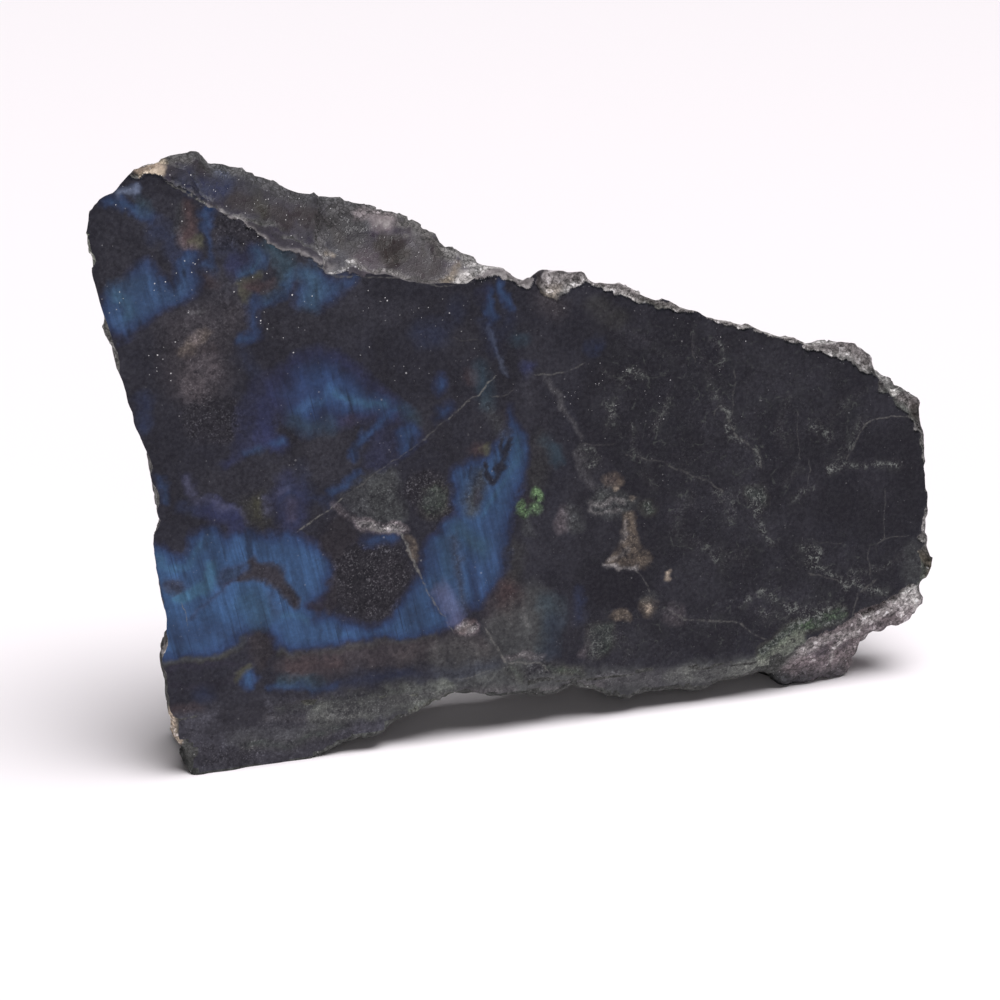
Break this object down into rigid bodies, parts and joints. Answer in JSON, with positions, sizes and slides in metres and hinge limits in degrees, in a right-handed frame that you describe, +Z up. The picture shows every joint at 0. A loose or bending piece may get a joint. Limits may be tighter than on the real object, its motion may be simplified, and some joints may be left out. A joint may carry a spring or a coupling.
{
  "type": "rough labradorite slab",
  "caption": "Rough slab of labradorite that stands on its broken lower edge: one side sawn flat and polished to show its blue flash, rims and back left broken.",
  "frame": {"origin": "middle of the bounding box in plan, at the floor under the feet", "axes": "+X along the slab towards its blunt end, -Y out of the polished face, +Z up"},
  "size_m": [0.0948, 0.0128, 0.0657],
  "materials": {
    "labradorite": "polished dark front face with blue labradorescence, thin green and white veins; rims and back broken, grey, sugary and matt"
  },
  "bodies": {
    "root": {"labradorite_slab": "labradorite"}
  },
  "joints": []
}
